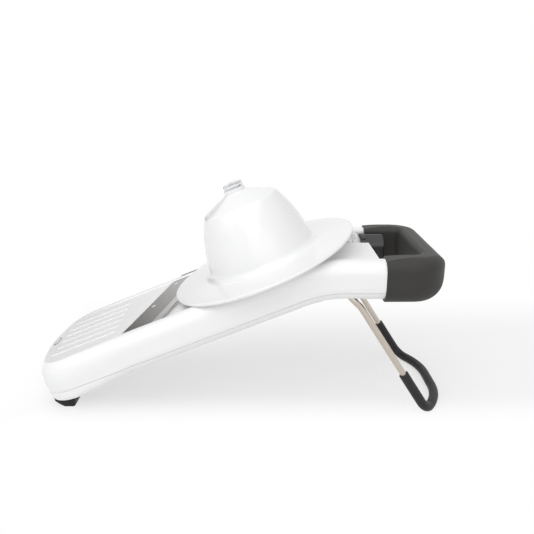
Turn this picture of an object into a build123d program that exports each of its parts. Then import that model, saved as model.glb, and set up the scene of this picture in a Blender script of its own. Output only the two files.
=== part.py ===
"""Mandoline slicer: a sloping deck between two rails, a loop handle, a thickness dial, a blade cassette,
a folding wire stand and a sprung food holder. Millimetres, +Z up, +X from nose to handle, ground at Z = 0."""
import math
import os

from build123d import *

os.makedirs("parts", exist_ok=True)

# The deck slopes up from the nose to the bend, and the handle behind the bend is level
DECK_TILT = 21.8
NOSE_X = -197.7
CREST_Z = 49.2
NOSE_FRONT = -9.6
NOSE_ROLL = (13.4, 21.6)
NOSE_DEPTH = 39.4
CHIN_RADIUS = 4.5
NOSE_FADE = 60.0
FRONT_RADIUS = 163.0
NOSE_RADIUS = 36.0
BEND_S = 287.0
BEND_RADIUS = 130.0
GRIP_X = 130.0
HANDLE_END_X = 188.5
HANDLE_RADIUS = 32.0

# Hollow rail with a rounded shoulder and a rounder lower edge, split along a seam
RAIL_INNER = 55.5
RAIL_WIDTH = 18.5
RAIL_DEPTH = 37.5
SHOULDER_RADIUS = 12.0
BILGE_RADIUS = 14.0
CREST_RADIUS = 4.5
EDGE_RADIUS = 2.4
WALL = 2.5
SEAM_DEPTH = 28.5
SEAM_GAP = 0.3

# Landing deck in front of the blade, with low ridges that keep wet slices from sticking
DECK_DROP = 1.1
DECK_PLATE = 3.0
RIDGE_COUNT = 6
RIDGE_PITCH = 15.6
RIDGE_LENGTH = 68.0
RIDGE_MIDDLE_S = 46.0
RIDGE_WIDTH = 5.0
RIDGE_HEIGHT = 0.7

# Skewed blade in a cassette that slides out through the far rail
BLADE_BACK_S = 109.4
BLADE_SKEW = 18.0
BLADE_WIDTH = 35.8
BLADE_THICK = 1.2
BLADE_TOP = -1.3
BEVEL_WIDTH = 7.2
EDGE_THICK = 0.15
BLADE_END_Y = 62.0
CARRIER_DEPTH = 5.0
CARRIER_END_Y = 65.0
CARRIER_SETBACK = 9.0
CARRIER_CHAMFER = 3.5
PEG_RADIUS = 2.2
PEG_INSET = 7.0
PEG_QS = (-3.4, 52.0)
SLOT_PLAY = 0.4
PULL_TAB = 5.0
TAB_ROUND = 1.6

# Runway that tilts about an axle under its upper end
RUNWAY_END_S = 287.0
RUNWAY_PLATE = 4.0
RUNWAY_PLAY = 0.6
RUNWAY_GAP = 1.2
RUNWAY_SLOPE = 1.3
AXLE_X = 60.0
AXLE_Z = 140.0
AXLE_RADIUS = 2.5
RUN_FIT = 0.06
FOLLOWER_X = 92.0
FOLLOWER_RADIUS = 4.0

# Thickness dial, a level axis beside the far rail
DIAL_Y = 33.6
DIAL_Z = 139.2
DIAL_RADIUS = 19.8
HOUSING_START_X = 78.0
HOUSING_END_X = 107.0
COLLAR_END_X = 122.0
KNOB_SKIRT_X = 127.0
KNOB_END_X = 146.0
KNOB_FLATS = 29.0
SHAFT_RADIUS = 3.0
CAM_RADIUS = 8.09
CAM_RISE_PER_TURN = 2.304
CAM_GAP = 0.35
CAM_WIDTH = 4.0
FIXED_FIT = 0.04

# Level plate between the bend and the finger gap
PLATE_X = 73.0
PLATE_END_X = 128.0
PLATE_TOP = 151.5
PLATE_THICK = 3.5

# Soft grip around a stiff core
GRIP_WIDTH = 23.5
GRIP_PROUD = 0.6
GRIP_DEPTH = 40.0
GRIP_CROWN = 2.2
GRIP_BELLY = 1.4
GRIP_BILGE = 16.0
CORE_START_X = 112.0
CORE_INSET = 2.9
CORE_WIDTH = 12.7
CORE_TOP = 6.5
CORE_DEPTH = 22.0

# Bent wire stand with a rubber sleeve that stands on the ground
WIRE_RADIUS = 3.0
SLEEVE_RADIUS = 4.6
SLEEVE_FLAT = 0.5
LEG_Y = 64.0
PIVOT_X = 97.0
PIVOT_Z = 123.5
KINK_LENGTH = 18.4
KINK_ANGLE = 45.0
LEG_ANGLE = 57.4
SLEEVE_TOP_Z = 42.6
FOOT_REACH = 18.3
FOOT_STRAIGHT = 34.0
STUB_Y = 51.5

# Food holder: a hat with a broad brim, and a sprung pusher with prongs
HAT_S = 236.0
BRIM_RADIUS = 94.0
BRIM_GAP = 0.3
BRIM_EDGE = 3.2
HAT_WALL = 2.5
MOUTH_RADIUS = 52.0
MOUTH_DEPTH = 0.5
CROWN_BASE = 54.0
CROWN_TOP_RADIUS = 37.0
CROWN_TOP = 64.0
NECK_RADIUS = 10.5
NECK_TOP = 79.0
STEM_RADIUS = 6.0
GUIDE_LOW = 56.0
GUIDE_RADIUS = 9.5
PUSHER_RADIUS = 39.0
PUSHER_LOW = 13.0
PUSHER_PLATE = 3.0
PRONG_RADIUS = 1.1
PRONG_TIP = 2.0
CAP_RADIUS = 9.6
CAP_THICK = 4.6

# Screws
HEAD_RADIUS = 2.8
HEAD_HEIGHT = 1.8
SHANK_RADIUS = 1.45
SHANK_LENGTH = 14.0
SCREW_PLAY = 0.15
BOSS_RADIUS = 4.5
SCREW_Y = 62.0
SCREW_S = (75.0, 185.0, 240.0)
COUNTERBORE = 4.0
PILOT_SPARE = 1.0
CROSS_LENGTH = 3.4
CROSS_WIDTH = 0.85
CROSS_DEPTH = 1.1

TILT = math.radians(DECK_TILT)
SKEW = math.radians(BLADE_SKEW)
ALONG = Vector(math.cos(TILT), 0, math.sin(TILT))
NORMAL = Vector(-math.sin(TILT), 0, math.cos(TILT))
ACROSS = Vector(0, 1, 0)
RAIL_OUTER = RAIL_INNER + RAIL_WIDTH
NOSE_FLAT = RAIL_OUTER - NOSE_RADIUS
FRONT_MIDDLE_S = NOSE_FRONT + FRONT_RADIUS
FRONT_TURN = math.asin(NOSE_FLAT / (FRONT_RADIUS - NOSE_RADIUS))
CORNER_S = FRONT_MIDDLE_S - (FRONT_RADIUS - NOSE_RADIUS) * math.cos(FRONT_TURN)
BEND_REACH = BEND_RADIUS * math.tan(TILT / 2)


def on_deck(s, y, h):
    """Point that lies s up the slope, y across and h above the plane of the rail crests."""
    return Vector(NOSE_X, y, CREST_Z) + ALONG * s + NORMAL * h


LEVEL_Z = on_deck(BEND_S, 0, 0).Z
BEND_END_X = on_deck(BEND_S, 0, 0).X + BEND_REACH
DECK = Plane(origin=on_deck(0, 0, 0), x_dir=ALONG, z_dir=NORMAL)
BLADE = Plane(
    origin=on_deck(BLADE_BACK_S, 0, 0),
    x_dir=ALONG * math.cos(SKEW) - ACROSS * math.sin(SKEW),
    z_dir=NORMAL,
)
SIDE = Plane(origin=(0, 0, 0), x_dir=(1, 0, 0), z_dir=(0, -1, 0))
DECK_SIDE = Plane(origin=on_deck(0, 0, 0), x_dir=ALONG, z_dir=ACROSS * -1)
FAR_OFF = 300.0


def section_outline(depth, roll, turn, inset):
    """Cross section of the frame, from its inner top corner outwards and down, drawn in by inset."""
    left, right = inset, RAIL_WIDTH - inset
    top, bottom = -inset, inset - depth
    crest = CREST_RADIUS - inset
    edge = max(EDGE_RADIUS - inset, 0)
    roll_x, roll_y = roll[0] - inset, roll[1] - inset
    low_turn = turn - inset
    with BuildSketch() as outline:
        with BuildLine():
            Line((left + crest, top), (right - roll_x, top))
            EllipticalCenterArc((right - roll_x, top - roll_y), roll_x, roll_y, 0, arc_size=90)
            Line((right, top - roll_y), (right, bottom + low_turn))
            CenterArc((right - low_turn, bottom + low_turn), low_turn, 270, 90)
            Line((right - low_turn, bottom), (left + edge, bottom))
            if edge:
                CenterArc((left + edge, bottom + edge), edge, 180, 90)
            Line((left, bottom + edge), (left, top - crest))
            CenterArc((left + crest, top - crest), crest, 90, 90)
        make_face()
    return outline.sketch


def rail_outline(inset):
    """Cross section of a rail."""
    return section_outline(RAIL_DEPTH, (SHOULDER_RADIUS, SHOULDER_RADIUS), BILGE_RADIUS, inset)


def nose_outline(inset):
    """Cross section of the nose, squarer below than the rails and rolled over more widely on top."""
    return section_outline(NOSE_DEPTH, NOSE_ROLL, CHIN_RADIUS, inset)


def rail_band(top, bottom):
    """Hollow rail section between two depths below the crest."""
    with BuildSketch() as band:
        add(rail_outline(0))
        add(rail_outline(WALL), mode=Mode.SUBTRACT)
        with Locations((RAIL_WIDTH / 2, -(top + bottom) / 2)):
            Rectangle(2 * RAIL_WIDTH, bottom - top, mode=Mode.INTERSECT)
    return band.sketch


def front_loop(inset):
    """Sweeps the nose section round the front and fades it into the rail sections of both slopes."""
    nose, rail = nose_outline(inset), rail_outline(inset)
    outward = ACROSS * math.sin(FRONT_TURN) - ALONG * math.cos(FRONT_TURN)
    around = ACROSS * math.cos(FRONT_TURN) + ALONG * math.sin(FRONT_TURN)
    corner_start = on_deck(FRONT_MIDDLE_S, 0, 0) + outward * (FRONT_RADIUS - RAIL_WIDTH)
    slope = Plane(origin=on_deck(CORNER_S, RAIL_INNER, 0), x_dir=ACROSS, z_dir=ALONG)
    tip = on_deck(NOSE_FRONT + RAIL_WIDTH, 0, 0)
    with BuildPart() as loop:
        with BuildSketch(Plane(origin=tip, x_dir=ALONG * -1, z_dir=ACROSS)):
            add(nose)
        revolve(
            axis=Axis(on_deck(FRONT_MIDDLE_S, 0, 0), NORMAL * -1),
            revolution_arc=math.degrees(FRONT_TURN),
        )
        with BuildSketch(Plane(origin=corner_start, x_dir=outward, z_dir=around)):
            add(nose)
        revolve(
            axis=Axis(on_deck(CORNER_S, NOSE_FLAT, 0), NORMAL * -1),
            revolution_arc=90 - math.degrees(FRONT_TURN),
        )
        with BuildSketch(slope):
            add(nose)
        with BuildSketch(slope.offset(NOSE_FADE)):
            add(rail)
        loft()
        with BuildSketch(slope.offset(NOSE_FADE)):
            add(rail)
        extrude(amount=BEND_S - BEND_REACH - CORNER_S - NOSE_FADE)
        mirror(about=Plane.XZ)
    return loop.part


def rear_loop(section):
    """Sweeps a rail section over the bend and along both level arms."""
    slope_end = on_deck(BEND_S - BEND_REACH, RAIL_INNER, 0)
    with BuildPart() as loop:
        with BuildSketch(Plane(origin=slope_end, x_dir=ACROSS, z_dir=ALONG)):
            add(section)
        revolve(
            axis=Axis((BEND_END_X, 0, LEVEL_Z - BEND_RADIUS), ACROSS), revolution_arc=DECK_TILT
        )
        with BuildSketch(Plane(origin=(BEND_END_X, RAIL_INNER, LEVEL_Z), x_dir=ACROSS, z_dir=(1, 0, 0))):
            add(section)
        extrude(amount=GRIP_X - BEND_END_X)
        mirror(about=Plane.XZ)
    return loop.part


def handle_loop(section, inner_y, start_x):
    """Sweeps a section along both handle arms and round the crossbar at the rear end."""
    corner_x = HANDLE_END_X - HANDLE_RADIUS
    corner_y = RAIL_OUTER - HANDLE_RADIUS
    arm_plane = Plane(origin=(start_x, inner_y, LEVEL_Z), x_dir=ACROSS, z_dir=(1, 0, 0))
    with BuildPart() as loop:
        with BuildSketch(arm_plane):
            add(section)
        extrude(amount=corner_x - start_x)
        with BuildSketch(arm_plane.offset(corner_x - start_x)):
            add(section)
        revolve(axis=Axis((corner_x, corner_y, 0), (0, 0, -1)), revolution_arc=90)
        bar_inner_x = corner_x + inner_y - corner_y
        with BuildSketch(Plane(origin=(bar_inner_x, corner_y, LEVEL_Z), x_dir=(1, 0, 0), z_dir=(0, -1, 0))):
            add(section)
        extrude(amount=corner_y)
        mirror(about=Plane.XZ)
    return loop.part


def cylinder_between(plane, radius, start, end, mode=Mode.ADD):
    """Round bar along a plane's normal, between two distances from the plane."""
    with BuildSketch(plane.offset(start)) as disc:
        Circle(radius)
    extrude(disc.sketch, amount=end - start, mode=mode)


def screw(plane):
    """Pan head screw with a cross recess. The head stands below the plane, the shank goes up from it."""
    cylinder_between(plane, HEAD_RADIUS, -HEAD_HEIGHT, 0)
    cylinder_between(plane, SHANK_RADIUS, 0, SHANK_LENGTH)
    with BuildSketch(plane.offset(-HEAD_HEIGHT)) as recess:
        Rectangle(CROSS_LENGTH, CROSS_WIDTH)
        Rectangle(CROSS_WIDTH, CROSS_LENGTH)
    extrude(recess.sketch, amount=CROSS_DEPTH, mode=Mode.SUBTRACT)


def slope_screw_planes():
    """Seats of the screws that hold the lower shell, in pairs up the slope."""
    seat = -RAIL_DEPTH + COUNTERBORE
    return [
        Plane(origin=on_deck(s, side * SCREW_Y, seat), x_dir=ALONG, z_dir=NORMAL)
        for s in SCREW_S
        for side in (-1, 1)
    ]


def handle_screw_planes():
    """Seats of the two screws that hold the handle core inside the rail ends."""
    middle_x = (CORE_START_X + GRIP_X) / 2
    seat = LEVEL_Z - RAIL_DEPTH + COUNTERBORE
    return [Plane(origin=(middle_x, side * SCREW_Y, seat)) for side in (-1, 1)]


# Front of the frame, hollow, parted along the seam that runs round it below the middle
outer_front = front_loop(0)
inner_front = front_loop(WALL)
upper_rear = rear_loop(rail_band(0, SEAM_DEPTH))
lower_rear = rear_loop(rail_band(SEAM_DEPTH + SEAM_GAP, RAIL_DEPTH))
with BuildPart() as front_shell:
    add(outer_front)
    add(inner_front, mode=Mode.SUBTRACT)
with BuildPart() as upper_front:
    add(front_shell.part)
    with BuildSketch(DECK.offset(-SEAM_DEPTH)):
        Rectangle(4 * FAR_OFF, 2 * FAR_OFF)
    extrude(amount=-FAR_OFF, mode=Mode.SUBTRACT)
with BuildPart() as lower_front:
    add(front_shell.part)
    with BuildSketch(DECK.offset(-SEAM_DEPTH - SEAM_GAP)):
        Rectangle(4 * FAR_OFF, 2 * FAR_OFF)
    extrude(amount=FAR_OFF, mode=Mode.SUBTRACT)

# Landing deck, which runs out over the nose and ends along the back of the blade
DECK_LAP = 0.1
SIDE_LAP = 2.0
roll_share = 1 - DECK_DROP / NOSE_ROLL[1]
DECK_MARGIN = NOSE_ROLL[0] * (1 - math.sqrt(1 - roll_share**2)) + DECK_LAP
with BuildPart() as landing:
    with BuildSketch(DECK.offset(-DECK_DROP)):
        with BuildLine():
            turn = math.degrees(FRONT_TURN)
            corner_radius = NOSE_RADIUS - DECK_MARGIN
            CenterArc((FRONT_MIDDLE_S, 0), FRONT_RADIUS - DECK_MARGIN, 180 - turn, 2 * turn)
            near = CenterArc((CORNER_S, -NOSE_FLAT), corner_radius, 180 + turn, 90 - turn)
            far = CenterArc((CORNER_S, NOSE_FLAT), corner_radius, 90, 90 - turn)
            half_width = NOSE_FLAT + corner_radius
            Polyline(near @ 1, (FAR_OFF, -half_width), (FAR_OFF, half_width), far @ 0)
        make_face()
        Rectangle(2 * FAR_OFF, 2 * (RAIL_INNER + SIDE_LAP), mode=Mode.INTERSECT)
    extrude(amount=-DECK_PLATE)
    with BuildSketch(DECK.offset(-DECK_DROP)):
        with Locations((RIDGE_MIDDLE_S, 0)):
            with GridLocations(0, RIDGE_PITCH, 1, RIDGE_COUNT):
                SlotOverall(RIDGE_LENGTH, RIDGE_WIDTH)
    extrude(amount=RIDGE_HEIGHT)
    with BuildSketch(BLADE):
        with Locations((FAR_OFF / 2 - SLOT_PLAY, 0)):
            Rectangle(FAR_OFF, 2 * FAR_OFF)
    extrude(amount=RAIL_DEPTH, both=True, mode=Mode.SUBTRACT)

# Upper shell: rails, landing deck, level plate, cross walls and screw bosses in one moulding
WINDOW_WIDTH = 16.0
LEDGE = 4.0
CREST_FADE_S = (15.0, 80.0)
carrier_bottom = BLADE_TOP - BLADE_THICK - CARRIER_DEPTH
slot_bottom = carrier_bottom - SLOT_PLAY
slot_top = BLADE_TOP + SLOT_PLAY / 2
with BuildPart() as main_frame:
    add(upper_front.part)
    add(upper_rear)
    with BuildSketch(DECK_SIDE):
        with BuildLine():
            Polyline(
                (-FAR_OFF, -DECK_DROP),
                (CREST_FADE_S[0], -DECK_DROP),
                (CREST_FADE_S[1], 0),
                (CREST_FADE_S[1], RAIL_DEPTH),
                (-FAR_OFF, RAIL_DEPTH),
                close=True,
            )
        make_face()
    extrude(amount=FAR_OFF, both=True, mode=Mode.SUBTRACT)
    add(landing.part)
    plate_middle = (PLATE_X + PLATE_END_X) / 2
    plate_far_y = DIAL_Y - DIAL_RADIUS - RUNWAY_PLAY
    with BuildSketch(Plane.XY.offset(PLATE_TOP)):
        with Locations((plate_middle, (plate_far_y - RAIL_INNER - WALL / 2) / 2)):
            Rectangle(PLATE_END_X - PLATE_X, plate_far_y + RAIL_INNER + WALL / 2)
    extrude(amount=-PLATE_THICK)
    with BuildSketch(Plane(origin=(PLATE_X, 0, 0), x_dir=ACROSS, z_dir=(1, 0, 0))):
        with Locations((0, (PLATE_TOP + LEVEL_Z - SEAM_DEPTH) / 2)):
            Rectangle(2 * RAIL_INNER + WALL, PLATE_TOP - LEVEL_Z + SEAM_DEPTH)
        with Locations((DIAL_Y, LEVEL_Z - SEAM_DEPTH)):
            Rectangle(WINDOW_WIDTH, SEAM_DEPTH, mode=Mode.SUBTRACT)
    extrude(amount=WALL)
    for plane in slope_screw_planes():
        boss_low = RAIL_DEPTH - COUNTERBORE - SEAM_DEPTH
        cylinder_between(plane, BOSS_RADIUS, boss_low, RAIL_DEPTH - COUNTERBORE - WALL / 2)
        cylinder_between(plane, SHANK_RADIUS + SCREW_PLAY, 0, SHANK_LENGTH + PILOT_SPARE, Mode.SUBTRACT)
    with BuildSketch(BLADE.offset(slot_bottom)):
        with Locations((BLADE_WIDTH / 2, BLADE_END_Y + FAR_OFF / 2 - RAIL_WIDTH)):
            Rectangle(BLADE_WIDTH + 2 * SLOT_PLAY, FAR_OFF)
    extrude(amount=slot_top - slot_bottom, mode=Mode.SUBTRACT)
    with BuildSketch(DECK.offset(slot_bottom)):
        with Locations((BLADE_BACK_S - RAIL_WIDTH / 4, LEDGE / 2 - RAIL_INNER - WALL / 4)):
            Rectangle(BLADE_WIDTH / 2, LEDGE + WALL / 2)
    extrude(amount=-WALL)
    axle_plane = Plane(origin=(AXLE_X, 0, AXLE_Z), x_dir=(1, 0, 0), z_dir=(0, -1, 0))
    axle_end = RAIL_INNER + WALL
    cylinder_between(axle_plane, AXLE_RADIUS + FIXED_FIT, -axle_end, axle_end, Mode.SUBTRACT)
main_frame.part.label = "main_frame"
export_step(main_frame.part, "parts/main_frame.step")

# Lower shell: closes the rails from below, with slots for the stand legs and seats for the screws
LEG_SLOT_X = (74.0, 110.0)
LEG_SLOT_WIDTH = 15.0
LEG_PLAY = 1.0
HANDLE_BOSS = 1.5
PLUG_RADIUS = 3.5
PLUG_LENGTH = 4.5
PLUG_S = 3.0
PLUG_Y = 18.0
plug_planes = [
    Plane(
        origin=on_deck(PLUG_S, side * PLUG_Y, -NOSE_DEPTH), x_dir=ALONG, z_dir=NORMAL
    )
    for side in (-1, 1)
]
with BuildPart() as base_shell:
    add(lower_front.part)
    add(lower_rear)
    for plane in slope_screw_planes():
        boss_top = RAIL_DEPTH - COUNTERBORE - SEAM_DEPTH - SEAM_GAP
        cylinder_between(plane, BOSS_RADIUS, WALL - COUNTERBORE, boss_top)
        cylinder_between(plane, SHANK_RADIUS + SCREW_PLAY, -COUNTERBORE, boss_top, Mode.SUBTRACT)
        cylinder_between(plane, HEAD_RADIUS + SCREW_PLAY, -COUNTERBORE - WALL, 0, Mode.SUBTRACT)
    for plane in handle_screw_planes():
        cylinder_between(plane, BOSS_RADIUS, WALL - COUNTERBORE, HANDLE_BOSS)
        cylinder_between(plane, SHANK_RADIUS + SCREW_PLAY, -COUNTERBORE, HANDLE_BOSS, Mode.SUBTRACT)
        cylinder_between(plane, HEAD_RADIUS + SCREW_PLAY, -COUNTERBORE - WALL, 0, Mode.SUBTRACT)
    for plane in plug_planes:
        cylinder_between(plane, PLUG_RADIUS + SCREW_PLAY, 0, PLUG_LENGTH + PILOT_SPARE, Mode.SUBTRACT)
    with BuildSketch(Plane.XY.offset(LEVEL_Z - SEAM_DEPTH)):
        for side in (-1, 1):
            slot_y = side * (LEG_Y + WIRE_RADIUS + LEG_PLAY - LEG_SLOT_WIDTH / 2)
            with Locations((sum(LEG_SLOT_X) / 2, slot_y)):
                Rectangle(LEG_SLOT_X[1] - LEG_SLOT_X[0], LEG_SLOT_WIDTH)
    extrude(amount=-2 * RAIL_DEPTH, mode=Mode.SUBTRACT)
base_shell.part.label = "base_shell"
export_step(base_shell.part, "parts/base_shell.step")

# Screws that hold the two shells together
with BuildPart() as base_screws:
    for plane in slope_screw_planes():
        screw(plane)
base_screws.part.label = "base_screws"
export_step(base_screws.part, "parts/base_screws.step")

# Rubber foot under the chin, a strip bent round the nose, with plugs pushed into the lower shell
FOOT_X = (-190.5, -166.0)
FOOT_CORNER = 30.0
FOOT_FLAT = 30.0
FOOT_HALF_WIDTH = 47.0
FOOT_STRIP = 19.0
FOOT_TOP_Z = 30.0
FOOT_SOLE_X = -176.5
FOOT_TOE_Z = 11.5
FOOT_TOE_BULGE = 1.2
FOOT_HEEL_ROUND = 2.5
FOOT_EDGE_ROUND = 2.0
with BuildPart() as front_foot:
    with BuildSketch(Plane.XY) as foot_plan:
        with Locations((FOOT_X[0] + FOOT_CORNER, 0)):
            Rectangle(2 * FOOT_CORNER, 2 * (FOOT_FLAT + FOOT_CORNER))
        fillet(foot_plan.vertices().group_by(Axis.X)[0], FOOT_CORNER)
        with Locations((sum(FOOT_X) / 2, 0)):
            Rectangle(FOOT_X[1] - FOOT_X[0], 2 * FOOT_HALF_WIDTH, mode=Mode.INTERSECT)
    extrude(amount=FOOT_TOP_Z)
    heels = front_foot.edges().group_by(Axis.Z)[0].sort_by(Axis.X)[-1]
    fillet(heels, FOOT_HEEL_ROUND)
    with BuildSketch(Plane.XZ):
        with BuildLine():
            toe_curve = SagittaArc((FOOT_SOLE_X, 0), (FOOT_X[0], FOOT_TOE_Z), FOOT_TOE_BULGE)
            Polyline(toe_curve @ 1, (FOOT_X[0], 0), (FOOT_SOLE_X, 0))
        make_face()
    extrude(amount=FOOT_HALF_WIDTH, both=True, mode=Mode.SUBTRACT)
    low_edges = front_foot.edges().filter_by(lambda edge: edge.center().Z < FOOT_TOE_Z)
    side_edges = low_edges.filter_by(lambda edge: abs(edge.center().Y) > FOOT_FLAT)
    fillet(side_edges, FOOT_EDGE_ROUND)
    with BuildSketch(Plane.XY):
        with Locations((FOOT_X[0] + 2 * FOOT_STRIP, 0)):
            RectangleRounded(2 * FOOT_STRIP, 2 * (FOOT_HALF_WIDTH - FOOT_STRIP), FOOT_STRIP - FOOT_HEEL_ROUND)
    extrude(amount=FOOT_TOP_Z, mode=Mode.SUBTRACT)
    with BuildSketch(DECK.offset(-NOSE_DEPTH)):
        Rectangle(4 * FAR_OFF, 2 * FAR_OFF)
    extrude(amount=FAR_OFF, mode=Mode.SUBTRACT)
    for plane in plug_planes:
        cylinder_between(plane, PLUG_RADIUS, -PILOT_SPARE, PLUG_LENGTH)
front_foot.part.label = "front_foot"
export_step(front_foot.part, "parts/front_foot.step")

# Side outline of the grip: it swells a little above and below, and its rear end is cut up in a wide curve
GRIP_CREST_X = 160.0
GRIP_REAR_TOP = (175.0, 1.6)
GRIP_REAR_CORNER = (186.2, -4.0)
GRIP_REAR_END = (189.3, -12.0)
GRIP_REAR_BELLY = (181.5, -29.5)
GRIP_LOW_X = 155.0


def grip_profile(start_x):
    """Side outline of the handle from start_x backwards."""
    top = LEVEL_Z + GRIP_PROUD
    low = top - GRIP_DEPTH
    with BuildSketch() as outline:
        with BuildLine():
            crest = Spline(
                (start_x, top),
                (GRIP_CREST_X, top + GRIP_CROWN),
                (GRIP_REAR_TOP[0], top + GRIP_REAR_TOP[1]),
            )
            rear = (GRIP_REAR_END[0], top + GRIP_REAR_END[1])
            belly = (GRIP_LOW_X, low - GRIP_BELLY)
            ThreePointArc(crest @ 1, (GRIP_REAR_CORNER[0], top + GRIP_REAR_CORNER[1]), rear)
            ThreePointArc(rear, (GRIP_REAR_BELLY[0], top + GRIP_REAR_BELLY[1]), belly)
            Line(belly, (start_x, low))
            Line((start_x, low), crest @ 0)
        make_face()
    return outline.sketch


# Stiff core of the handle, plugged into the ends of the rails
CORE_SKIN = 3.0
with BuildSketch() as core_section:
    with Locations((CORE_WIDTH / 2, -CORE_TOP - CORE_DEPTH / 2)):
        RectangleRounded(CORE_WIDTH, CORE_DEPTH, CORE_WIDTH / 3)
core_sweep = handle_loop(core_section.sketch, RAIL_INNER + CORE_INSET, CORE_START_X)
core_profile = grip_profile(CORE_START_X - CORE_SKIN)
with BuildPart() as core_loop:
    add(core_sweep)
    with BuildSketch(SIDE):
        with Locations((-CORE_SKIN, CORE_SKIN)):
            add(core_profile)
    extrude(amount=FAR_OFF, both=True, mode=Mode.INTERSECT)
with BuildPart() as handle_core:
    add(core_loop.part)
    for plane in handle_screw_planes():
        cylinder_between(plane, SHANK_RADIUS + SCREW_PLAY, 0, SHANK_LENGTH + PILOT_SPARE, Mode.SUBTRACT)
handle_core.part.label = "handle_core"
export_step(handle_core.part, "parts/handle_core.step")

# Soft grip moulded over the core
GRIP_INNER_RADIUS = 6.5
GRIP_TOP_RADIUS = 12.0
with BuildSketch() as grip_section:
    with Locations((GRIP_WIDTH / 2, GRIP_PROUD + (GRIP_CROWN - GRIP_DEPTH - GRIP_BELLY) / 2)):
        Rectangle(GRIP_WIDTH, GRIP_DEPTH + GRIP_CROWN + GRIP_BELLY)
    fillet(grip_section.vertices().group_by(Axis.X)[-1].sort_by(Axis.Y)[0], GRIP_BILGE)
    fillet(grip_section.vertices().group_by(Axis.X)[-1].sort_by(Axis.Y)[-1], GRIP_TOP_RADIUS)
    fillet(grip_section.vertices().group_by(Axis.X)[0].sort_by(Axis.Y)[0], GRIP_INNER_RADIUS)
    fillet(grip_section.vertices().group_by(Axis.X)[0].sort_by(Axis.Y)[-1], GRIP_INNER_RADIUS)
grip_inner_y = RAIL_OUTER + GRIP_PROUD - GRIP_WIDTH
grip_solid = handle_loop(grip_section.sketch, grip_inner_y, GRIP_X + SEAM_GAP)
full_profile = grip_profile(GRIP_X)
with BuildPart() as handle_grip:
    add(grip_solid)
    with BuildSketch(SIDE):
        add(full_profile)
    extrude(amount=FAR_OFF, both=True, mode=Mode.INTERSECT)
    add(core_loop.part, mode=Mode.SUBTRACT)
handle_grip.part.label = "handle_grip"
export_step(handle_grip.part, "parts/handle_grip.step")

# Screws from below that hold the core in the rails
with BuildPart() as handle_screws:
    for plane in handle_screw_planes():
        screw(plane)
handle_screws.part.label = "handle_screws"
export_step(handle_screws.part, "parts/handle_screws.step")

# Runway: tilting ramp with side ribs, axle lugs and an arm that reaches under the cam of the dial
slope = TILT + math.radians(RUNWAY_SLOPE)
RUNWAY = Plane(
    origin=on_deck(RUNWAY_END_S, 0, BLADE_TOP),
    x_dir=(math.cos(slope), 0, math.sin(slope)),
    z_dir=(-math.sin(slope), 0, math.cos(slope)),
)
RIB_Y = 46.0
RIB_THICK = 2.0
RIB_DEPTH = 8.0
RIB_SPAN = (-128.0, -6.0)
LUG_Y = 47.0
LUG_THICK = 6.0
LUG_RADIUS = 6.0
LUG_RISE = 7.5
ARM_THICK = 10.0
ARM_ROOT = 5.0
ARM_ROOT_TOP = (7.0, 10.0)
ARM_ROOT_LOW = 6.0
ARM_NECK = 6.0
ARM_NECK_LOW = 4.0
ARM_ELBOW = 11.0
ARM_UPPER = 2.6
follower_z = DIAL_Z - CAM_RADIUS - CAM_GAP - FOLLOWER_RADIUS
with BuildPart() as runway:
    with BuildSketch(RUNWAY):
        with Locations((-FAR_OFF / 2, 0)):
            Rectangle(FAR_OFF, 2 * (RAIL_INNER - RUNWAY_PLAY))
    extrude(amount=-RUNWAY_PLATE)
    with BuildSketch(RUNWAY.offset(-RUNWAY_PLATE / 2)):
        with Locations((sum(RIB_SPAN) / 2, 0)):
            with GridLocations(0, RIB_Y, 1, 3):
                Rectangle(RIB_SPAN[1] - RIB_SPAN[0], RIB_THICK)
    extrude(amount=-RIB_DEPTH)
    with BuildSketch(BLADE):
        with Locations((BLADE_WIDTH + RUNWAY_GAP - FAR_OFF / 2, 0)):
            Rectangle(FAR_OFF, 2 * FAR_OFF)
    extrude(amount=RAIL_DEPTH, both=True, mode=Mode.SUBTRACT)
    for side in (-1, 1):
        with BuildSketch(SIDE.offset(-side * LUG_Y)):
            with Locations((AXLE_X, AXLE_Z)):
                Circle(LUG_RADIUS)
            with Locations((AXLE_X, AXLE_Z + LUG_RISE / 2)):
                Rectangle(2 * LUG_RADIUS, LUG_RISE)
        extrude(amount=LUG_THICK / 2, both=True)
    with BuildSketch(SIDE.offset(-DIAL_Y)):
        with BuildLine():
            Polyline(
                (AXLE_X - ARM_ROOT, AXLE_Z + ARM_ROOT_TOP[0]),
                (AXLE_X + ARM_ROOT, AXLE_Z + ARM_ROOT_TOP[1]),
                (AXLE_X + ARM_NECK, AXLE_Z - ARM_NECK_LOW),
                (AXLE_X + ARM_ELBOW, follower_z + ARM_UPPER),
                (FOLLOWER_X, follower_z + ARM_UPPER),
                (FOLLOWER_X, follower_z - FOLLOWER_RADIUS),
                (AXLE_X + ARM_NECK, follower_z - FOLLOWER_RADIUS),
                (AXLE_X - ARM_ROOT, AXLE_Z - ARM_ROOT_LOW),
                close=True,
            )
        make_face()
        with Locations((FOLLOWER_X, follower_z)):
            Circle(FOLLOWER_RADIUS)
    extrude(amount=ARM_THICK / 2, both=True)
    cylinder_between(axle_plane, AXLE_RADIUS + RUN_FIT, -RAIL_INNER, RAIL_INNER, Mode.SUBTRACT)
runway.part.label = "runway"
export_step(runway.part, "parts/runway.step")

# Axle of the runway, held in the inner walls of the rails
with BuildPart() as runway_axle:
    cylinder_between(axle_plane, AXLE_RADIUS, -axle_end, axle_end)
    chamfer(runway_axle.edges().filter_by(GeomType.CIRCLE), AXLE_RADIUS / 5)
runway_axle.part.label = "runway_axle"
export_step(runway_axle.part, "parts/runway_axle.step")


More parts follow.
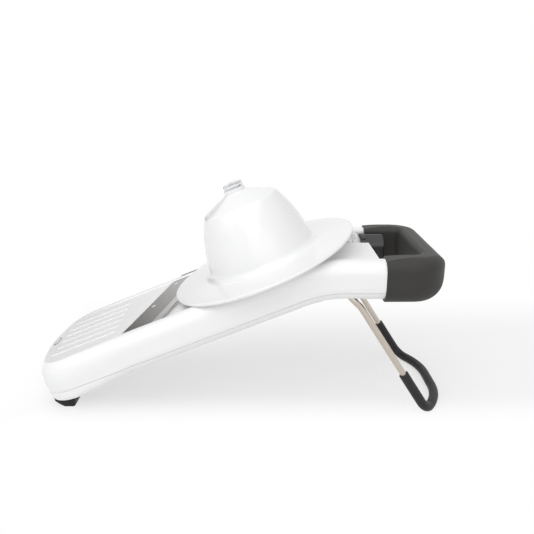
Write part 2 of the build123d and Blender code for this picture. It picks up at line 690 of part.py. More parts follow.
def dial_plane(x):
    """Plane square to the dial axis, with its own X across and its own Y up."""
    return Plane(origin=(x, DIAL_Y, DIAL_Z), x_dir=ACROSS, z_dir=(1, 0, 0))


DIAL_SIDE = Plane(origin=(0, DIAL_Y, DIAL_Z), x_dir=(1, 0, 0), z_dir=(0, -1, 0))
DIAL_AXIS = Axis((0, DIAL_Y, DIAL_Z), (1, 0, 0))

# Fixed housing of the dial, against the inner wall of the far rail
HOUSING_WALL = 5.0
HOUSING_LOW = -5.0
HOUSING_BACK_TOP = 11.0
HOUSING_EDGE = 0.8
CUT_SPARE = 1.0
BUSH_RADIUS = 5.0
with BuildPart() as dial_housing:
    cylinder_between(dial_plane(0), DIAL_RADIUS, HOUSING_START_X, HOUSING_END_X)
    chamfer(dial_housing.edges().filter_by(GeomType.CIRCLE), HOUSING_EDGE)
    cut_start = HOUSING_START_X - CUT_SPARE
    cut_end = HOUSING_END_X - HOUSING_WALL
    cylinder_between(dial_plane(0), DIAL_RADIUS - WALL, cut_start, cut_end, Mode.SUBTRACT)
    with BuildSketch(dial_plane(cut_start)):
        with Locations((0, HOUSING_LOW - DIAL_RADIUS)):
            Rectangle(4 * DIAL_RADIUS, 2 * DIAL_RADIUS)
    extrude(amount=cut_end - cut_start, mode=Mode.SUBTRACT)
    back_width = RAIL_INNER - DIAL_Y
    with BuildSketch(dial_plane(HOUSING_START_X)):
        with Locations((back_width - WALL / 2, (HOUSING_LOW + HOUSING_BACK_TOP) / 2)):
            Rectangle(WALL, HOUSING_BACK_TOP - HOUSING_LOW)
    extrude(amount=HOUSING_END_X - HOUSING_START_X)
    with BuildSketch(dial_plane(0)):
        with Locations((back_width + DIAL_RADIUS, 0)):
            Rectangle(2 * DIAL_RADIUS, 4 * DIAL_RADIUS)
    extrude(amount=FAR_OFF, mode=Mode.SUBTRACT)
    cylinder_between(dial_plane(0), BUSH_RADIUS + FIXED_FIT, 0, FAR_OFF, Mode.SUBTRACT)
dial_housing.part.label = "dial_housing"
export_step(dial_housing.part, "parts/dial_housing.step")

# Tongue on the housing that points at the numbers on the collar
POINTER_X = (84.0, 110.5)
POINTER_THICK = 1.8
POINTER_SWEEP = 52.0
POINTER_LOW = 12.0
POINTER_ROUND = 6.0
with BuildPart() as dial_pointer:
    low_turn = math.radians(POINTER_LOW)
    low_side = (0, math.sin(low_turn), -math.cos(low_turn))
    with BuildSketch(Plane(origin=(0, DIAL_Y, DIAL_Z), x_dir=(1, 0, 0), z_dir=low_side)):
        with Locations((sum(POINTER_X) / 2, DIAL_RADIUS + FIXED_FIT + POINTER_THICK / 2)):
            Rectangle(POINTER_X[1] - POINTER_X[0], POINTER_THICK)
    revolve(axis=DIAL_AXIS, revolution_arc=-POINTER_SWEEP)
    ends = dial_pointer.edges().filter_by(GeomType.LINE).filter_by(Axis.X, reverse=True)
    fillet(ends.group_by(Axis.X)[-1], POINTER_ROUND)
dial_pointer.part.label = "dial_pointer"
export_step(dial_pointer.part, "parts/dial_pointer.step")

# Bush that carries the dial shaft in the end wall of the housing
FLANGE_RADIUS = 7.0
FLANGE_THICK = 1.5
with BuildPart() as shaft_bush:
    cylinder_between(dial_plane(0), BUSH_RADIUS, cut_end, HOUSING_END_X)
    cylinder_between(dial_plane(0), FLANGE_RADIUS, cut_end - FLANGE_THICK, cut_end)
    cylinder_between(dial_plane(0), SHAFT_RADIUS + RUN_FIT, 0, FAR_OFF, Mode.SUBTRACT)
shaft_bush.part.label = "shaft_bush"
export_step(shaft_bush.part, "parts/shaft_bush.step")

# Steel shaft of the dial, drilled at its rear end for the knob screw
SHAFT_X = (84.0, 141.0)
SHAFT_CHAMFER = 0.5
PILOT_DEPTH = 10.0
PILOT_RADIUS = 1.5
with BuildPart() as adjuster_shaft:
    cylinder_between(dial_plane(0), SHAFT_RADIUS, SHAFT_X[0], SHAFT_X[1])
    chamfer(adjuster_shaft.edges().filter_by(GeomType.CIRCLE), SHAFT_CHAMFER)
    cylinder_between(
        dial_plane(0), PILOT_RADIUS + SCREW_PLAY, SHAFT_X[1] - PILOT_DEPTH, SHAFT_X[1], Mode.SUBTRACT
    )
adjuster_shaft.part.label = "adjuster_shaft"
export_step(adjuster_shaft.part, "parts/adjuster_shaft.step")

# Snail cam on the shaft, whose radius falls evenly as the dial turns towards thicker slices
CAM_FROM = -310.0
CAM_TO = 10.0
CAM_POINTS = 33


def cam_point(angle):
    """Point of the cam edge at an angle from the far side, where straight down is at rest."""
    radius = CAM_RADIUS + CAM_RISE_PER_TURN * (angle + 90) / 360
    turn = math.radians(angle)
    return (radius * math.cos(turn), radius * math.sin(turn))


cam_angles = [CAM_FROM + (CAM_TO - CAM_FROM) * i / (CAM_POINTS - 1) for i in range(CAM_POINTS)]
with BuildPart() as lift_cam:
    with BuildSketch(dial_plane(FOLLOWER_X - CAM_WIDTH / 2)):
        with BuildLine():
            spiral = Spline(*[cam_point(angle) for angle in cam_angles])
            Line(spiral @ 1, spiral @ 0)
        make_face()
    extrude(amount=CAM_WIDTH)
    cylinder_between(dial_plane(0), BUSH_RADIUS, FOLLOWER_X, FOLLOWER_X + CAM_WIDTH)
    cylinder_between(dial_plane(0), SHAFT_RADIUS + FIXED_FIT, 0, FAR_OFF, Mode.SUBTRACT)
lift_cam.part.label = "lift_cam"
export_step(lift_cam.part, "parts/lift_cam.step")

# Domed collar with the thickness numbers, fixed on the shaft
COLLAR_GAP = 0.4
COLLAR_LAND = 1.0
COLLAR_RADIUS = 19.4
COLLAR_FACE_RADIUS = 13.0
collar_start = HOUSING_END_X + COLLAR_GAP
with BuildPart() as dial_collar:
    with BuildSketch(DIAL_SIDE):
        with BuildLine():
            bore = SHAFT_RADIUS + FIXED_FIT
            Line((collar_start, bore), (collar_start, COLLAR_RADIUS))
            shoulder = Line((collar_start, COLLAR_RADIUS), (collar_start + COLLAR_LAND, COLLAR_RADIUS))
            TangentArc(shoulder @ 1, (COLLAR_END_X, COLLAR_FACE_RADIUS), tangent=shoulder % 1)
            Line((COLLAR_END_X, COLLAR_FACE_RADIUS), (COLLAR_END_X, bore))
            Line((COLLAR_END_X, bore), (collar_start, bore))
        make_face()
    revolve(axis=DIAL_AXIS)
dial_collar.part.label = "dial_collar"
export_step(dial_collar.part, "parts/dial_collar.step")

# Black six-sided knob that turns the dial
SKIRT_RADIUS = 16.6
KNOB_ROUND = 5.0
KNOB_EDGE = 2.0
RECESS_RADIUS = 4.6
RECESS_DEPTH = 3.0
with BuildPart() as thickness_knob:
    with BuildSketch(dial_plane(KNOB_SKIRT_X)) as knob_outline:
        RegularPolygon(KNOB_FLATS / 2, 6, major_radius=False, rotation=30)
        fillet(knob_outline.vertices(), KNOB_ROUND)
    extrude(amount=KNOB_END_X - KNOB_SKIRT_X)
    fillet(thickness_knob.faces().sort_by(Axis.X)[-1].edges(), KNOB_EDGE)
    cylinder_between(dial_plane(0), SKIRT_RADIUS, COLLAR_END_X, KNOB_SKIRT_X)
    fillet(thickness_knob.edges().filter_by(GeomType.CIRCLE).sort_by(SortBy.RADIUS)[-2:], KNOB_EDGE / 4)
    cylinder_between(dial_plane(0), SHAFT_RADIUS + FIXED_FIT, 0, SHAFT_X[1], Mode.SUBTRACT)
    cylinder_between(dial_plane(0), PILOT_RADIUS + SCREW_PLAY, 0, KNOB_END_X, Mode.SUBTRACT)
    cylinder_between(dial_plane(0), RECESS_RADIUS, KNOB_END_X - RECESS_DEPTH, FAR_OFF, Mode.SUBTRACT)
thickness_knob.part.label = "thickness_knob"
export_step(thickness_knob.part, "parts/thickness_knob.step")

# Screw that holds the knob on the shaft
KNOB_SCREW_LENGTH = 9.0
KNOB_SCREW_HEAD = 4.0
KNOB_SCREW_RISE = 2.0
KNOB_SCREW_ROUND = 0.8
KNOB_CROSS = (4.0, 1.0, 1.2)
with BuildPart() as knob_screw:
    seat_x = KNOB_END_X - RECESS_DEPTH
    cylinder_between(dial_plane(0), KNOB_SCREW_HEAD, seat_x, seat_x + KNOB_SCREW_RISE)
    fillet(knob_screw.faces().sort_by(Axis.X)[-1].edges(), KNOB_SCREW_ROUND)
    cylinder_between(dial_plane(0), PILOT_RADIUS, seat_x - KNOB_SCREW_LENGTH, seat_x)
    with BuildSketch(dial_plane(seat_x + KNOB_SCREW_RISE)):
        Rectangle(KNOB_CROSS[0], KNOB_CROSS[1])
        Rectangle(KNOB_CROSS[1], KNOB_CROSS[0])
    extrude(amount=-KNOB_CROSS[2], mode=Mode.SUBTRACT)
knob_screw.part.label = "knob_screw"
export_step(knob_screw.part, "parts/knob_screw.step")

# Blade: flat steel with a long ground bevel, cut off in line with the rails
blade_low = BLADE_TOP - BLADE_THICK
peg_places = [(PEG_INSET, q) for q in PEG_QS]
with BuildPart() as main_blade:
    with BuildSketch(Plane(origin=BLADE.origin, x_dir=BLADE.x_dir, z_dir=BLADE.y_dir * -1)):
        with BuildLine():
            Polyline(
                (0, BLADE_TOP),
                (BLADE_WIDTH - BEVEL_WIDTH, BLADE_TOP),
                (BLADE_WIDTH, blade_low + EDGE_THICK),
                (BLADE_WIDTH, blade_low),
                (0, blade_low),
                close=True,
            )
        make_face()
    extrude(amount=FAR_OFF, both=True)
    with BuildSketch(DECK):
        with Locations((0, (BLADE_END_Y - RAIL_INNER + RUNWAY_PLAY) / 2)):
            Rectangle(4 * FAR_OFF, BLADE_END_Y + RAIL_INNER - RUNWAY_PLAY)
    extrude(amount=RAIL_DEPTH, both=True, mode=Mode.INTERSECT)
    with BuildSketch(BLADE):
        with Locations(*peg_places):
            Circle(PEG_RADIUS + FIXED_FIT)
    extrude(amount=-RAIL_DEPTH, mode=Mode.SUBTRACT)
main_blade.part.label = "main_blade"
export_step(main_blade.part, "parts/main_blade.step")

# Plastic carrier under the blade, shaped off to follow the outer side of the far rail
with BuildPart() as blade_carrier:
    with BuildSketch(BLADE.offset(blade_low)):
        with Locations(((BLADE_WIDTH - CARRIER_SETBACK) / 2, 0)):
            Rectangle(BLADE_WIDTH - CARRIER_SETBACK, 4 * FAR_OFF)
    extrude(amount=-CARRIER_DEPTH)
    front = blade_carrier.edges().filter_by(lambda e: abs(e.tangent_at(0.5).dot(BLADE.y_dir)) > 0.99)
    chamfer(front.group_by(Axis.Z)[0].sort_by(Axis.X)[-1], CARRIER_CHAMFER)
    with BuildSketch(DECK):
        with Locations((0, (CARRIER_END_Y - RAIL_INNER + RUNWAY_PLAY) / 2)):
            Rectangle(4 * FAR_OFF, CARRIER_END_Y + RAIL_INNER - RUNWAY_PLAY)
    extrude(amount=RAIL_DEPTH, both=True, mode=Mode.INTERSECT)
    with BuildSketch(BLADE):
        with Locations(*peg_places):
            Circle(PEG_RADIUS / 2 + FIXED_FIT)
    extrude(amount=-RAIL_DEPTH, mode=Mode.SUBTRACT)
blade_carrier.part.label = "blade_carrier"
export_step(blade_carrier.part, "parts/blade_carrier.step")

# Stakes that fix the blade on its carrier
with BuildPart() as blade_pegs:
    with BuildSketch(BLADE.offset(BLADE_TOP)):
        with Locations(*peg_places):
            Circle(PEG_RADIUS)
    extrude(amount=-BLADE_THICK)
    with BuildSketch(BLADE.offset(blade_low)):
        with Locations(*peg_places):
            Circle(PEG_RADIUS / 2)
    extrude(amount=-CARRIER_DEPTH)
blade_pegs.part.label = "blade_pegs"
export_step(blade_pegs.part, "parts/blade_pegs.step")

# Pull tab at the far end of the carrier, which closes the slot in the rail
with BuildPart() as blade_grip:
    with BuildSketch(BLADE.offset(blade_low)):
        with Locations(((BLADE_WIDTH - CARRIER_SETBACK) / 2, 0)):
            Rectangle(BLADE_WIDTH - CARRIER_SETBACK, 4 * FAR_OFF)
    extrude(amount=-CARRIER_DEPTH)
    with BuildSketch(DECK):
        with Locations((0, (CARRIER_END_Y + RAIL_OUTER + PULL_TAB) / 2)):
            Rectangle(4 * FAR_OFF, RAIL_OUTER + PULL_TAB - CARRIER_END_Y)
    extrude(amount=RAIL_DEPTH, both=True, mode=Mode.INTERSECT)
    fillet(blade_grip.faces().sort_by(Axis.Y)[-1].edges(), TAB_ROUND)
blade_grip.part.label = "blade_grip"
export_step(blade_grip.part, "parts/blade_grip.step")

# Stand: one bent wire with its upper ends turned inwards as pivots, seen here opened out
pivot = Vector(PIVOT_X, 0, PIVOT_Z)
kink_turn = math.radians(KINK_ANGLE)
leg_turn = math.radians(LEG_ANGLE)
leg_along = Vector(math.cos(leg_turn), 0, -math.sin(leg_turn))
kink = pivot + Vector(math.cos(kink_turn), 0, -math.sin(kink_turn)) * KINK_LENGTH
foot_z = SLEEVE_RADIUS - SLEEVE_FLAT
ankle = kink + leg_along * ((kink.Z - foot_z) / math.sin(leg_turn))
sleeve_top = kink + leg_along * ((kink.Z - SLEEVE_TOP_Z) / math.sin(leg_turn))
foot_corner = ankle + Vector(FOOT_REACH, 0, 0)
WIRE_BENDS = (9.0, 25.0, 15.0, 76.0)


def mirrored_route(points):
    """Takes points of the near side, given with their distance from the middle, on to the far side."""
    near = [(p.X, -y, p.Z) for p, y in points]
    return near + [(x, -y, z) for x, y, z in reversed(near)]


leg_route = [(pivot, STUB_Y), (pivot, LEG_Y), (kink, LEG_Y), (ankle, LEG_Y), (foot_corner, FOOT_STRAIGHT)]
sleeve_route = [(sleeve_top, LEG_Y), (ankle, LEG_Y), (foot_corner, FOOT_STRAIGHT)]
with BuildPart() as stand_wire:
    with BuildLine() as wire_line:
        FilletPolyline(*mirrored_route(leg_route), radius=WIRE_BENDS + WIRE_BENDS[::-1])
    with BuildSketch(Plane(origin=wire_line.line @ 0, z_dir=wire_line.line % 0)):
        Circle(WIRE_RADIUS)
    sweep()
stand_wire.part.label = "stand_wire"
export_step(stand_wire.part, "parts/stand_wire.step")

# Rubber sleeve over the lower part of the wire, flat where it stands on the ground
with BuildPart() as stand_sleeve:
    with BuildLine() as sleeve_line:
        FilletPolyline(*mirrored_route(sleeve_route), radius=WIRE_BENDS[2:] + WIRE_BENDS[2:][::-1])
    with BuildSketch(Plane(origin=sleeve_line.line @ 0, z_dir=sleeve_line.line % 0)):
        Circle(SLEEVE_RADIUS)
        Circle(WIRE_RADIUS, mode=Mode.SUBTRACT)
    sweep()
    with BuildSketch(Plane.XY):
        Rectangle(4 * FAR_OFF, 4 * FAR_OFF)
    extrude(amount=-SLEEVE_RADIUS, mode=Mode.SUBTRACT)
stand_sleeve.part.label = "stand_sleeve"
export_step(stand_sleeve.part, "parts/stand_sleeve.step")

# Bearing blocks of the stand, fixed against the inner walls of the rails
BLOCK_LENGTH = 14.0
BLOCK_LOW = 6.0
BLOCK_HIGH = 5.0
BLOCK_Y = 50.5
BLOCK_ROUND = 2.5
with BuildPart() as stand_bearings:
    with BuildSketch(SIDE):
        with Locations((PIVOT_X, PIVOT_Z + (BLOCK_HIGH - BLOCK_LOW) / 2)):
            RectangleRounded(BLOCK_LENGTH, BLOCK_LOW + BLOCK_HIGH, BLOCK_ROUND)
        with Locations((PIVOT_X, PIVOT_Z)):
            Circle(WIRE_RADIUS + RUN_FIT, mode=Mode.SUBTRACT)
    extrude(amount=RAIL_INNER, both=True)
    with BuildSketch(SIDE):
        with Locations((PIVOT_X, PIVOT_Z)):
            Rectangle(4 * BLOCK_LENGTH, 4 * BLOCK_LENGTH)
    extrude(amount=BLOCK_Y, both=True, mode=Mode.SUBTRACT)
stand_bearings.part.label = "stand_bearings"
export_step(stand_bearings.part, "parts/stand_bearings.step")

# Food holder: profile of the hat, drawn as radius out from the axis and height over the rail crests
HAT_SIDE = Plane(origin=on_deck(HAT_S, 0, 0), x_dir=ALONG, z_dir=ACROSS * -1)
HAT = Plane(origin=on_deck(HAT_S, 0, 0), x_dir=ALONG, z_dir=NORMAL)
HAT_AXIS = Axis(on_deck(HAT_S, 0, 0), NORMAL)
CROWN_BULGE = 3.6
CROWN_ROUND = 7.0
BRIM_ROUND = 8.0
BRIM_RISE = 1.5
LIP_ROUND = 1.2
NECK_STEP = 4.0
NECK_EDGE = 1.2


def crown_middle(base, top):
    """Point half way up the crown wall, pushed out so that the wall bulges."""
    lean = math.atan2(base[0] - top[0], top[1] - base[1])
    return (
        (base[0] + top[0]) / 2 + CROWN_BULGE * math.cos(lean),
        (base[1] + top[1]) / 2 + CROWN_BULGE * math.sin(lean),
    )


brim_top = BRIM_GAP + BRIM_EDGE
crown_low = (CROWN_BASE, brim_top + BRIM_RISE)
crown_high = (CROWN_TOP_RADIUS, CROWN_TOP)
neck_low = NECK_TOP - NECK_STEP
inner_low = (MOUTH_RADIUS - HAT_WALL, BRIM_GAP - MOUTH_DEPTH)
inner_high = (CROWN_TOP_RADIUS - HAT_WALL, CROWN_TOP - HAT_WALL)
stem_hole = STEM_RADIUS + RUN_FIT
with BuildPart() as holder_hat:
    with BuildSketch(HAT_SIDE) as hat_profile:
        with BuildLine():
            Line((stem_hole, NECK_TOP), (NECK_RADIUS, NECK_TOP))
            Line((NECK_RADIUS, NECK_TOP), (NECK_RADIUS, neck_low))
            Line((NECK_RADIUS, neck_low), crown_high)
            ThreePointArc(crown_high, crown_middle(crown_low, crown_high), crown_low)
            Line(crown_low, (BRIM_RADIUS, brim_top))
            Line((BRIM_RADIUS, brim_top), (BRIM_RADIUS, BRIM_GAP))
            Line((BRIM_RADIUS, BRIM_GAP), (MOUTH_RADIUS, BRIM_GAP))
            Line((MOUTH_RADIUS, BRIM_GAP), (MOUTH_RADIUS, BRIM_GAP - MOUTH_DEPTH))
            Line((MOUTH_RADIUS, BRIM_GAP - MOUTH_DEPTH), inner_low)
            ThreePointArc(inner_low, crown_middle(inner_low, inner_high), inner_high)
            Line(inner_high, (GUIDE_RADIUS, neck_low - HAT_WALL))
            Line((GUIDE_RADIUS, neck_low - HAT_WALL), (GUIDE_RADIUS, GUIDE_LOW))
            Line((GUIDE_RADIUS, GUIDE_LOW), (stem_hole, GUIDE_LOW))
            Line((stem_hole, GUIDE_LOW), (stem_hole, NECK_TOP))
        make_face()
        rounds = (
            (crown_high, CROWN_ROUND),
            (inner_high, CROWN_ROUND - HAT_WALL),
            (crown_low, BRIM_ROUND),
            ((BRIM_RADIUS, brim_top), LIP_ROUND),
            ((BRIM_RADIUS, BRIM_GAP), LIP_ROUND),
            ((NECK_RADIUS, NECK_TOP), NECK_EDGE),
            ((NECK_RADIUS, neck_low), NECK_EDGE),
        )
        for place, size in rounds:
            corner = hat_profile.vertices().sort_by_distance((*place, 0))[0]
            fillet(corner, size)
    revolve(axis=HAT_AXIS)
holder_hat.part.label = "holder_hat"
export_step(holder_hat.part, "parts/holder_hat.step")

# Stem of the pusher, a tube that slides in the neck of the hat
stem_top = NECK_TOP + BRIM_GAP
pusher_top = PUSHER_LOW + PUSHER_PLATE
STEM_BORE = 3.0
with BuildPart() as pusher_stem:
    cylinder_between(HAT, STEM_RADIUS, pusher_top, stem_top)
    cylinder_between(HAT, STEM_BORE, pusher_top, stem_top, Mode.SUBTRACT)
pusher_stem.part.label = "pusher_stem"
export_step(pusher_stem.part, "parts/pusher_stem.step")

# Plate of the pusher, with ribs on top and seats for the prongs
PRONG_RING_RADII = (30.0, 15.0)
PRONG_COUNTS = (8, 4)
RIM_HEIGHT = 5.0
RIM_WIDTH = 2.0
PLATE_RIB = 1.8
PLATE_ROUND = 1.0
PRONG_SEAT = 2.0
RIB_INNER = 13.0
with BuildPart() as pusher_plate:
    cylinder_between(HAT, PUSHER_RADIUS, PUSHER_LOW, pusher_top)
    fillet(pusher_plate.edges().group_by(Axis(HAT_AXIS.position, NORMAL))[0], PLATE_ROUND)
    with BuildSketch(HAT.offset(pusher_top)):
        Circle(PUSHER_RADIUS)
        Circle(PUSHER_RADIUS - RIM_WIDTH, mode=Mode.SUBTRACT)
        with PolarLocations((PUSHER_RADIUS + RIB_INNER) / 2, 6):
            Rectangle(PUSHER_RADIUS - RIB_INNER, PLATE_RIB)
    extrude(amount=RIM_HEIGHT)
    for ring, count in zip(PRONG_RING_RADII, PRONG_COUNTS):
        with BuildSketch(HAT.offset(PUSHER_LOW)):
            with PolarLocations(ring, count):
                Circle(PRONG_RADIUS + FIXED_FIT)
        extrude(amount=PRONG_SEAT, mode=Mode.SUBTRACT)
pusher_plate.part.label = "pusher_plate"
export_step(pusher_plate.part, "parts/pusher_plate.step")

# Steel prongs that hold the food
TIP_LENGTH = 3.0
TIP_TAPER = 18.0
taper_start = PRONG_TIP + TIP_LENGTH
with BuildPart() as prongs:
    for ring, count in zip(PRONG_RING_RADII, PRONG_COUNTS):
        with BuildSketch(HAT.offset(taper_start)) as prong_discs:
            with PolarLocations(ring, count):
                Circle(PRONG_RADIUS)
        extrude(prong_discs.sketch, amount=PUSHER_LOW + PRONG_SEAT - taper_start)
        extrude(prong_discs.sketch, amount=-TIP_LENGTH, taper=TIP_TAPER)
prongs.part.label = "prongs"
export_step(prongs.part, "parts/prongs.step")

# Clear button on top of the stem, with a plug that fits its bore
CAP_PLUG = 8.0
CAP_ROUND = 1.8
with BuildPart() as pusher_cap:
    cylinder_between(HAT, CAP_RADIUS, stem_top, stem_top + CAP_THICK)
    fillet(pusher_cap.edges().group_by(Axis(HAT_AXIS.position, NORMAL))[-1], CAP_ROUND)
    cylinder_between(HAT, STEM_BORE - FIXED_FIT, stem_top - CAP_PLUG, stem_top)
pusher_cap.part.label = "pusher_cap"
export_step(pusher_cap.part, "parts/pusher_cap.step")

# Spring round the stem, between the neck of the hat and the pusher plate
SPRING_WIRE = 0.6
SPRING_RADIUS = 8.6
SPRING_TURNS = 8
SPRING_END_GAP = 0.4
spring_low = pusher_top + SPRING_WIRE + SPRING_END_GAP
spring_high = GUIDE_LOW - SPRING_WIRE - SPRING_END_GAP
spring_pitch = (spring_high - spring_low) / SPRING_TURNS
with BuildPart() as pusher_spring:
    with BuildLine() as spring_line:
        Helix(
            pitch=spring_pitch,
            height=spring_high - spring_low,
            radius=SPRING_RADIUS,
            center=HAT.offset(spring_low).origin,
            direction=NORMAL,
        )
    with BuildSketch(Plane(origin=spring_line.line @ 0, z_dir=spring_line.line % 0)):
        Circle(SPRING_WIRE)
    sweep(is_frenet=True)
pusher_spring.part.label = "pusher_spring"
export_step(pusher_spring.part, "parts/pusher_spring.step")
print("least gap between spring turns", round(spring_pitch - 2 * SPRING_WIRE, 2), "mm")
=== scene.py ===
import math

import bmesh
import bpy
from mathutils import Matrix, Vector


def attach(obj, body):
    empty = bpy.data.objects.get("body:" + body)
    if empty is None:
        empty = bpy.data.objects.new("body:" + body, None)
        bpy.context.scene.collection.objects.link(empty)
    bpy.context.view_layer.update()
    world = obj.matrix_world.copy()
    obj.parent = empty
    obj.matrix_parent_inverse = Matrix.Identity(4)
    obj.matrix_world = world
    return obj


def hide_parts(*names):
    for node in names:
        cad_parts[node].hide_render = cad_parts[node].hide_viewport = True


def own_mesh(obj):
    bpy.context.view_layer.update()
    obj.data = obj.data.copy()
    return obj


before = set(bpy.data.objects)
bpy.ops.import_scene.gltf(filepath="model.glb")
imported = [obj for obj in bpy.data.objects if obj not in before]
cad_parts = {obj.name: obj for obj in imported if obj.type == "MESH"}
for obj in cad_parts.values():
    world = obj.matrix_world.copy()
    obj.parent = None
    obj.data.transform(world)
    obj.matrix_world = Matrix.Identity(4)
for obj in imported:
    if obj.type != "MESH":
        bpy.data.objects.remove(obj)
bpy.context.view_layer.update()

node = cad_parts

# Upper and lower shell: two injection mouldings in white plastic that meet along a fine seam.
# Their outer skin is spark-eroded to a soft sheen, with a faint cloudiness where the melt flowed,
# and fine scuffs run along the slope, where the food holder is pushed up and down.
DECK_TILT = math.radians(21.8)


class Tone:
    """A value, colour or direction inside a finish. Sums and products of values add their own nodes."""

    def __init__(self, tree, socket=None):
        self.tree = tree
        self.socket = socket

    def make(self, kind, settings=None, inputs=None, out=0):
        """Adds a node of any kind, with its settings first and then the values or links of its sockets."""
        made = self.tree.nodes.new(kind)
        for name, value in (settings or {}).items():
            setattr(made, name, value)
        for name, value in (inputs or {}).items():
            if isinstance(value, Tone):
                self.tree.links.new(value.socket, made.inputs[name])
            else:
                made.inputs[name].default_value = value
        return Tone(self.tree, made.outputs[out])

    def maths(self, operation, first, second):
        """Value that a sum of that kind gives for two tones or numbers."""
        return self.make("ShaderNodeMath", {"operation": operation}, {0: first, 1: second})

    def __add__(self, other):
        return self.maths("ADD", self, other)

    def __radd__(self, other):
        return self.maths("ADD", other, self)

    def __rsub__(self, other):
        return self.maths("SUBTRACT", other, self)

    def __mul__(self, other):
        return self.maths("MULTIPLY", self, other)

    def __rmul__(self, other):
        return self.maths("MULTIPLY", other, self)

    def __gt__(self, other):
        return self.maths("GREATER_THAN", self, other)


def new_finish(name, **constants):
    """Starts a finish: its material, its shader, and as a tone the place on the piece in metres."""
    material = bpy.data.materials.new(name)
    material.use_nodes = True
    shader = material.node_tree.nodes["Principled BSDF"]
    for socket, value in constants.items():
        shader.inputs[socket.replace("_", " ")].default_value = value
    place = Tone(material.node_tree).make("ShaderNodeTexCoord", out="Object")
    return material, shader, place


def feed(shader, **tones):
    """Links tones to the shader's own sockets."""
    for socket, tone in tones.items():
        tone.tree.links.new(tone.socket, shader.inputs[socket.replace("_", " ")])


def speckle(place, size, detail=2.0, turn=(0, 0, 0), stretch=(1, 1, 1)):
    """Cloudy pattern with spots of about that size in metres, turned and drawn out if wanted."""
    scale = tuple(1 / (size * share) for share in stretch)
    laid = place.make("ShaderNodeMapping", None, {"Vector": place, "Rotation": turn, "Scale": scale})
    return laid.make("ShaderNodeTexNoise", None, {"Vector": laid, "Scale": 1.0, "Detail": detail})


def shaded(tone, dark, light):
    """Colour between two colours, chosen by a value."""
    ends = {"Factor": tone, 6: (*dark, 1), 7: (*light, 1)}
    return tone.make("ShaderNodeMix", {"data_type": "RGBA"}, ends, out=2)


def relief(tone, depth, strength=1.0):
    """Surface direction from a height between 0 and 1, with its depth in metres."""
    return tone.make("ShaderNodeBump", None, {"Strength": strength, "Distance": depth, "Height": tone})


def paint(material, *names):
    """Gives CAD nodes that finish."""
    for name in names:
        node[name].data.materials.clear()
        node[name].data.materials.append(material)


shell_white, shader, place = new_finish("shell_white", IOR=1.5, Coat_Weight=0.12, Coat_Roughness=0.12)
cloud = speckle(place, 0.055, 3.0)
sparked = speckle(place, 0.00045, 1.0)
scuffs = speckle(place, 0.0012, 3.0, (0, DECK_TILT, 0), (60, 1, 1))
feed(shader, Base_Color=shaded(cloud * 0.8 + scuffs * 0.2, (0.84, 0.844, 0.848), (0.905, 0.905, 0.90)))
feed(shader, Roughness=0.26 + 0.10 * cloud + 0.07 * scuffs)
feed(shader, Normal=relief(sparked, 0.00002))
paint(shell_white, "main_frame", "base_shell")

# Plain oval inlay pressed into the front edge of the landing deck, a pale plate with a grey rim and no marks.
# It is a thin lens of plastic, domed a little, with a rounded rim that sits just proud of the deck.
INLAY_MIDDLE_S = 0.0044
INLAY_HALF = (0.0031, 0.0095)
INLAY_SUNK = 0.0003
INLAY_RISE = 0.0004
INLAY_RIM = 0.62
INLAY_SIDES = 48
DECK_DROP = 0.0011
NOSE = Vector((-0.1977, 0, 0.0492))
ALONG = Vector((math.cos(DECK_TILT), 0, math.sin(DECK_TILT)))
NORMAL = Vector((-math.sin(DECK_TILT), 0, math.cos(DECK_TILT)))


def on_deck(s, y, h):
    """Point s up the slope, y across and h above the crests of the rails."""
    return NOSE + ALONG * s + Vector((0, y, 0)) + NORMAL * h


def new_piece(name, build, material, body, smooth=True):
    """Makes a mesh piece from a bmesh and lets it ride on a body."""
    mesh = bpy.data.meshes.new(name)
    build.to_mesh(mesh)
    build.free()
    for face in mesh.polygons:
        face.use_smooth = smooth
    piece = bpy.data.objects.new(name, mesh)
    bpy.context.scene.collection.objects.link(piece)
    mesh.materials.append(material)
    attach(piece, body)


def lathe_rings(build, rings):
    """Skins a stack of closed rings of points and closes both ends."""
    loops = [[build.verts.new(point) for point in ring] for ring in rings]
    for low, high in zip(loops, loops[1:]):
        for i in range(len(low)):
            j = (i + 1) % len(low)
            build.faces.new((low[i], low[j], high[j], high[i]))
    build.faces.new(list(reversed(loops[0])))
    build.faces.new(loops[-1])


def away_from(place, point):
    """Direction and distance from a fixed point."""
    return place.make("ShaderNodeVectorMath", {"operation": "SUBTRACT"}, {0: place, 1: tuple(point)})


def measured(offset, direction):
    """How far an offset reaches in a direction."""
    pair = {0: offset, 1: tuple(direction)}
    return offset.make("ShaderNodeVectorMath", {"operation": "DOT_PRODUCT"}, pair, out="Value")


def component(place, axis):
    """X, Y or Z of a place."""
    return place.make("ShaderNodeSeparateXYZ", None, {"Vector": place}, out=axis)


